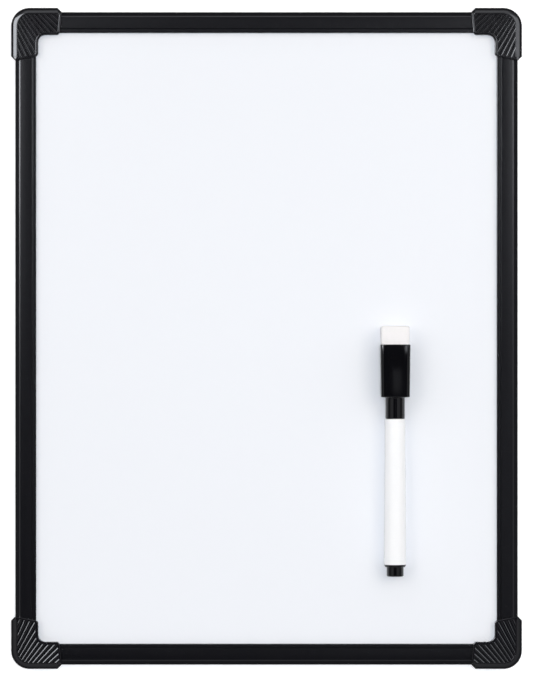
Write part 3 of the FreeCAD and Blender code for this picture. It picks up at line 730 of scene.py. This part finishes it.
class WHITEBOARD_OT_eraser(Operator):
    """Make the felt eraser in the end of the marker's cap"""

    bl_idname = "whiteboard.eraser"
    bl_label = "Eraser"
    bl_options = {"REGISTER", "UNDO"}

    def execute(self, context):
        marker = context.scene.whiteboard_marker
        low, high = span("eraser_pad")
        clear = span("marker_cap")[1][1]
        block = felt_block(low, high, clear, marker.felt_round / MM, marker.felt_swell / MM)
        # Pressed wool felt: matt warm white, with matted fibres and a soft bloom at the edges
        bloom = {"Sheen Weight": 0.35, "Sheen Roughness": 0.6}
        felt = finish("pressed_felt", marker.felt, lighter(marker.felt, 0.95), grain=0.28, spots=1.6,
                      roughness=(0.9, 1.0), relief=0.1, stretch=(1, 2.2, 1), IOR=1.4, **bloom)
        eraser = make_piece("eraser_felt", uneven(block, clear, high[1] - FELT_CROWN), "cap", "eraser_pad",
                            felt, wrap_columns=True)
        return {"FINISHED"}


def barrel_profile(edge):
    """Section of the barrel as (place along the axis, radius): a tapered tube with eased ends."""
    return rounded([
        (FRONT, BORE, edge / 2),
        (FRONT, FRONT_RADIUS, edge),
        (TAIL, TAIL_RADIUS, edge),
        (TAIL, BORE, edge / 2),
    ])


def plug_profile(edge):
    """Section of the end plug: a cup pushed into the tail, a bevelled flange and a narrower free end."""
    end_radius, end_round, flange_length, flange_bevel, wall = 3.55, 0.55, 1.0, 0.5, 0.9
    low, high = span("end_plug")
    end, top, flange = low[1], high[1], TAIL - flange_length
    return rounded([
        (end, 0, 0),
        (end, end_radius, end_round),
        (flange, end_radius, edge / 2),
        (flange, TAIL_RADIUS - flange_bevel, edge),
        (TAIL, TAIL_RADIUS, edge / 3),
        (TAIL, PUSHED, edge / 4),
        (top, PUSHED, edge),
        (top, PUSHED - wall, edge),
        (end + wall, PUSHED - wall, edge),
        (end + wall, 0, 0),
    ])


def holder_profile(edge, hole):
    """Section of the nib holder: a plug for the barrel, a collar for the cap and a nose round the nib."""
    collar_length, cone_length, collar_round, cone_round = 8.0, 1.6, 0.4, 0.6
    low, high = span("nib_holder")
    back, nose_end, collar_end = low[1], high[1], FRONT + collar_length
    return rounded([
        (back, hole, edge / 2),
        (nose_end, hole, edge / 2),
        (nose_end, NOSE, edge),
        (collar_end + cone_length, NOSE, cone_round),
        (collar_end, COLLAR, collar_round),
        (FRONT, COLLAR, edge / 4),
        (FRONT, PUSHED, edge / 4),
        (back, PUSHED, edge),
    ])


def nib_profile(edge, radius):
    """Section of the nib: a rod with a rounded bullet point."""
    point, shoulder_round, tip_radius, tip_round = 2.2, 1.2, 0.6, 0.4
    low, high = span("nib")
    root, tip = low[1], high[1]
    return rounded([
        (root, 0, 0),
        (root, radius, edge),
        (tip - point, radius, shoulder_round),
        (tip, tip_radius, tip_round),
        (tip, 0, 0),
    ])


class WHITEBOARD_OT_turned_pieces(Operator):
    """Make the barrel, the end plug, the nib and its holder, and finish the ink store"""

    bl_idname = "whiteboard.turned_pieces"
    bl_label = "Barrel, plug and nib"
    bl_options = {"REGISTER", "UNDO"}

    def execute(self, context):
        marker = context.scene.whiteboard_marker
        edge = marker.edge_round / MM
        nib_low, nib_high = span("nib")
        nib_radius, nib_play = (nib_high[0] - nib_low[0]) / 2, 0.05
        # Moulded PP: clean glossy white with a trace of blue
        pp_white = finish("moulded_pp_white", marker.barrel, lighter(marker.barrel, 0.985),
                          grain=2.2, spots=14, roughness=(0.08, 0.14), relief=0.0006,
                          stretch=(1, 4, 1), IOR=1.49)
        make_piece("barrel_tube", turned(barrel_profile(edge)), "barrel", "marker_barrel", pp_white,
                   wrap_rows=True, wrap_columns=True)

        # The same PP in black, a little duller than the cap
        pp_plug = finish("moulded_pp_plug", marker.plug, lighter(marker.plug, 1.3), grain=1.2, spots=5,
                         roughness=(0.12, 0.2), relief=0.001, IOR=1.49)
        make_piece("end_plug_moulding", turned(plug_profile(edge)), "barrel", "end_plug", pp_plug,
                   wrap_rows=True)

        # Uncoloured PP: milky and satin
        pp_plain = finish("moulded_pp_plain", linear("E9E8E2"), linear("DFDED8"), grain=0.8, spots=5,
                          roughness=(0.3, 0.42), relief=0.003, IOR=1.49)
        holder = turned(holder_profile(edge, nib_radius + nib_play))
        make_piece("nib_holder_moulding", holder, "barrel", "nib_holder", pp_plain,
                   wrap_rows=True, wrap_columns=True)

        # Bonded fibre soaked with ink: dull black with a grain along the nib
        fibre = finish("inked_fibre", marker.ink, lighter(marker.ink, 1.8), grain=0.12, spots=0.8,
                       roughness=(0.6, 0.8), relief=0.02, stretch=(1, 8, 1), IOR=1.45)
        make_piece("nib_rod", turned(nib_profile(edge, nib_radius)), "barrel", "nib", fibre,
                   wrap_rows=True)
        dress("ink_reservoir", fibre)
        return {"FINISHED"}


class WHITEBOARD_OT_inner_pieces(Operator):
    """Finish the magnet, the seal and the film tube inside the marker"""

    bl_idname = "whiteboard.inner_pieces"
    bl_label = "Inner pieces"
    bl_options = {"REGISTER", "UNDO"}

    def execute(self, context):
        # Sintered ferrite, ground flat: dull charcoal with a fine sparkle
        dress("cap_magnet", finish("ground_ferrite", linear("3A3A3D"), linear("4A4A4E"), grain=0.2,
                                   spots=1.5, roughness=(0.45, 0.6), relief=0.008, stretch=(6, 1, 1),
                                   IOR=2.2))
        # Natural PP of the sealing cup: milky and smooth
        dress("inner_cap_seal", finish("natural_pp", linear("E4E3DC"), linear("D8D7D0"), grain=0.8, spots=4,
                                       roughness=(0.25, 0.35), relief=0.002, IOR=1.49))
        # Drawn film round the ink store: pale and slick, with lines along it
        dress("reservoir_wrap", finish("drawn_film", linear("DADCDD"), linear("CED1D3"), grain=0.3, spots=3,
                                       roughness=(0.15, 0.25), relief=0.002, stretch=(1, 20, 1), IOR=1.5))
        return {"FINISHED"}


# Stage

class WHITEBOARD_OT_stage(Operator):
    """Set the floor, the light and the camera"""

    bl_idname = "whiteboard.stage"
    bl_label = "Stage"
    bl_options = {"REGISTER", "UNDO"}

    def execute(self, context):
        stage = context.scene.whiteboard_stage
        self.lay_floor(stage)
        self.hang_shade()
        cool, warm, daylight = linear("F5F8FF"), linear("FFF4E3"), linear("EDF6FF")
        # Lights over and round the board: (name, tint, power, place in metres, width and height in metres)
        for name, tint, watts, place, size in (
                ("soft_light", daylight, stage.soft_power, (0.06, 0.02, 2.1), (0.25, 0.25)),
                ("right_fill", warm, stage.right_fill, (0.9, 0.4, 1.6), (1.0, 1.0)),
                ("left_fill", warm, stage.left_fill, (-0.9, 0.4, 1.6), (1.0, 1.0))):
            self.hang_light(name, tint, watts, place, size).visible_glossy = False
        for name, tint, watts, place, size in (
                ("left_glow", cool, stage.left_power, (-0.64, 0.335, 0.72), (0.69, 0.52)),
                ("right_glow", cool, stage.right_power, (0.64, 0.335, 0.72), (0.69, 0.52)),
                ("left_sheen", cool, stage.sheen_power, (-0.46, 0.27, 2.2), (0.30, 0.30)),
                ("right_sheen", cool, stage.sheen_power, (0.46, 0.27, 2.2), (0.30, 0.30)),
                ("far_sheen", cool, stage.far_power, (0.62, 0.62, 1.9), (0.7, 0.9)),
                ("marker_sheen", cool, stage.marker_power, (0.15, -0.17, 2.2), (0.16, 0.22)),
                ("top_glow", cool, stage.top_power, (0.0, 0.85, 0.85), (0.90, 0.50))):
            self.hang_light(name, tint, watts, place, size).visible_diffuse = False
        context.scene.world = self.light_room(stage)
        context.scene.view_settings.view_transform = "Standard"
        self.set_camera(context, stage)
        return {"FINISHED"}

    def light_room(self, stage):
        """A room that lights evenly from all round, but shows dim walls in gloss.

        The upward part of a ray's direction, 0 level and 1 straight up, tells the walls from the ceiling.
        """
        wall_top, ceiling, dimming = 0.32, 0.62, 5
        world = bpy.data.worlds.new("room")
        world.use_nodes = True
        tree = world.node_tree
        background = tree.nodes["Background"]
        background.inputs["Color"].default_value = opaque(linear("F3F4F8"))
        way = add_node(tree, "ShaderNodeSeparateXYZ", {
            "Vector": add_node(tree, "ShaderNodeTexCoord").outputs["Object"]}).outputs["Z"]
        walls = add_node(tree, "ShaderNodeMapRange", {
            "Value": way, "From Min": wall_top, "From Max": ceiling,
            "To Min": stage.room_strength / dimming, "To Max": stage.room_strength}).outputs["Result"]
        even = add_node(tree, "ShaderNodeMath", {
            0: add_node(tree, "ShaderNodeLightPath").outputs["Is Diffuse Ray"], 1: stage.room_strength},
            operation="MULTIPLY").outputs[0]
        strength = add_node(tree, "ShaderNodeMath", {0: walls, 1: even}, operation="MAXIMUM").outputs[0]
        tree.links.new(strength, background.inputs["Strength"])
        return world

    def lay_floor(self, stage):
        """A pale plane that shows as white to the camera and keeps the shadow."""
        reach, level, glow = 12.0, -0.05 * MM, 0.45
        mesh = bpy.data.meshes.new("floor")
        mesh.from_pydata([(-reach, -reach, level), (reach, -reach, level), (reach, reach, level),
                          (-reach, reach, level)], [], [(0, 1, 2, 3)])
        # Painted floor: matt and pale, lifted to white where it is seen
        material = bpy.data.materials.new("painted_floor")
        material.use_nodes = True
        tree = material.node_tree
        shader = tree.nodes["Principled BSDF"]
        shader.inputs["Base Color"].default_value = opaque(stage.floor)
        shader.inputs["Roughness"].default_value = 0.9
        rays = add_node(tree, "ShaderNodeLightPath").outputs
        seen = add_node(tree, "ShaderNodeMath", {
            0: rays["Is Camera Ray"], 1: rays["Is Glossy Ray"]}, operation="ADD").outputs[0]
        seen = add_node(tree, "ShaderNodeMath", {
            0: seen, 1: rays["Is Transmission Ray"]}, operation="ADD", use_clamp=True).outputs[0]
        lift = add_node(tree, "ShaderNodeMath", {0: seen, 1: glow}, operation="MULTIPLY").outputs[0]
        tree.links.new(lift, shader.inputs["Emission Strength"])
        shader.inputs["Emission Color"].default_value = (1, 1, 1, 1)
        mesh.materials.append(material)
        floor = bpy.data.objects.new("floor", mesh)
        bpy.context.scene.collection.objects.link(floor)

    def hang_shade(self):
        """A dark card over the camera, so that flat black plastic has something dark to mirror."""
        reach, level = 0.9, 2.3
        mesh = bpy.data.meshes.new("shade")
        mesh.from_pydata([(-reach, -reach, level), (-reach, reach, level), (reach, reach, level),
                          (reach, -reach, level)], [], [(0, 1, 2, 3)])
        # Black cloth: fully matt
        material = bpy.data.materials.new("black_cloth")
        material.use_nodes = True
        shader = material.node_tree.nodes["Principled BSDF"]
        shader.inputs["Base Color"].default_value = opaque(linear("161616"))
        shader.inputs["Roughness"].default_value = 1.0
        mesh.materials.append(material)
        shade = bpy.data.objects.new("shade", mesh)
        bpy.context.scene.collection.objects.link(shade)

    def hang_light(self, name, tint, watts, place, size):
        """A flat lamp that faces the middle of the board, with its upper edge towards the board's top."""
        lamp = bpy.data.lights.new(name, "AREA")
        lamp.shape = "RECTANGLE"
        lamp.color = tint
        lamp.energy = watts
        lamp.size, lamp.size_y = size
        light = bpy.data.objects.new(name, lamp)
        facing = Vector(place).normalized()
        upward = (Vector((0, 1, 0)) - facing * facing.y).normalized()
        light.location = place
        light.rotation_euler = Matrix((upward.cross(facing), upward, facing)).transposed().to_euler()
        bpy.context.scene.collection.objects.link(light)
        return light

    def set_camera(self, context, stage):
        """Straight over the board, with a lens that fits the view's width near the frame's front.

        The picture is taller than it is wide, so the sensor's width lies along its height.
        """
        shown_level = 7.8 * MM
        camera = bpy.data.cameras.new("camera")
        tall = stage.view_width * PHOTO_HEIGHT / PHOTO_WIDTH
        camera.lens = camera.sensor_width * (stage.camera_height - shown_level) / tall
        view = bpy.data.objects.new("camera", camera)
        view.location = (0, -stage.aim_drop, stage.camera_height)
        bpy.context.scene.collection.objects.link(view)
        context.scene.camera = view


OPERATORS = (
    WHITEBOARD_OT_panel,
    WHITEBOARD_OT_rails,
    WHITEBOARD_OT_corner_caps,
    WHITEBOARD_OT_marker_cap,
    WHITEBOARD_OT_eraser,
    WHITEBOARD_OT_turned_pieces,
    WHITEBOARD_OT_inner_pieces,
    WHITEBOARD_OT_stage,
)


class WHITEBOARD_PT_sidebar(Panel):
    """Lists the pieces and their settings"""

    bl_idname = "WHITEBOARD_PT_sidebar"
    bl_label = "Portable Whiteboard"
    bl_space_type = "VIEW_3D"
    bl_region_type = "UI"
    bl_category = "Whiteboard"

    def draw(self, context):
        column = self.layout.column()
        for operator in OPERATORS:
            column.operator(operator.bl_idname)
        for group in (context.scene.whiteboard_board, context.scene.whiteboard_marker,
                      context.scene.whiteboard_stage):
            box = self.layout.box()
            for name in group.__annotations__:
                box.prop(group, name)


CLASSES = (BoardSettings, MarkerSettings, StageSettings, *OPERATORS, WHITEBOARD_PT_sidebar)


def register():
    for cls in CLASSES:
        bpy.utils.register_class(cls)
    bpy.types.Scene.whiteboard_board = PointerProperty(type=BoardSettings)
    bpy.types.Scene.whiteboard_marker = PointerProperty(type=MarkerSettings)
    bpy.types.Scene.whiteboard_stage = PointerProperty(type=StageSettings)


def unregister():
    del bpy.types.Scene.whiteboard_stage
    del bpy.types.Scene.whiteboard_marker
    del bpy.types.Scene.whiteboard_board
    for cls in reversed(CLASSES):
        bpy.utils.unregister_class(cls)


def main():
    register()
    bpy.ops.whiteboard.panel()
    bpy.ops.whiteboard.rails()
    bpy.ops.whiteboard.corner_caps()
    bpy.ops.whiteboard.marker_cap()
    bpy.ops.whiteboard.eraser()
    bpy.ops.whiteboard.turned_pieces()
    bpy.ops.whiteboard.inner_pieces()
    bpy.ops.whiteboard.stage()


if __name__ == "__main__":
    main()
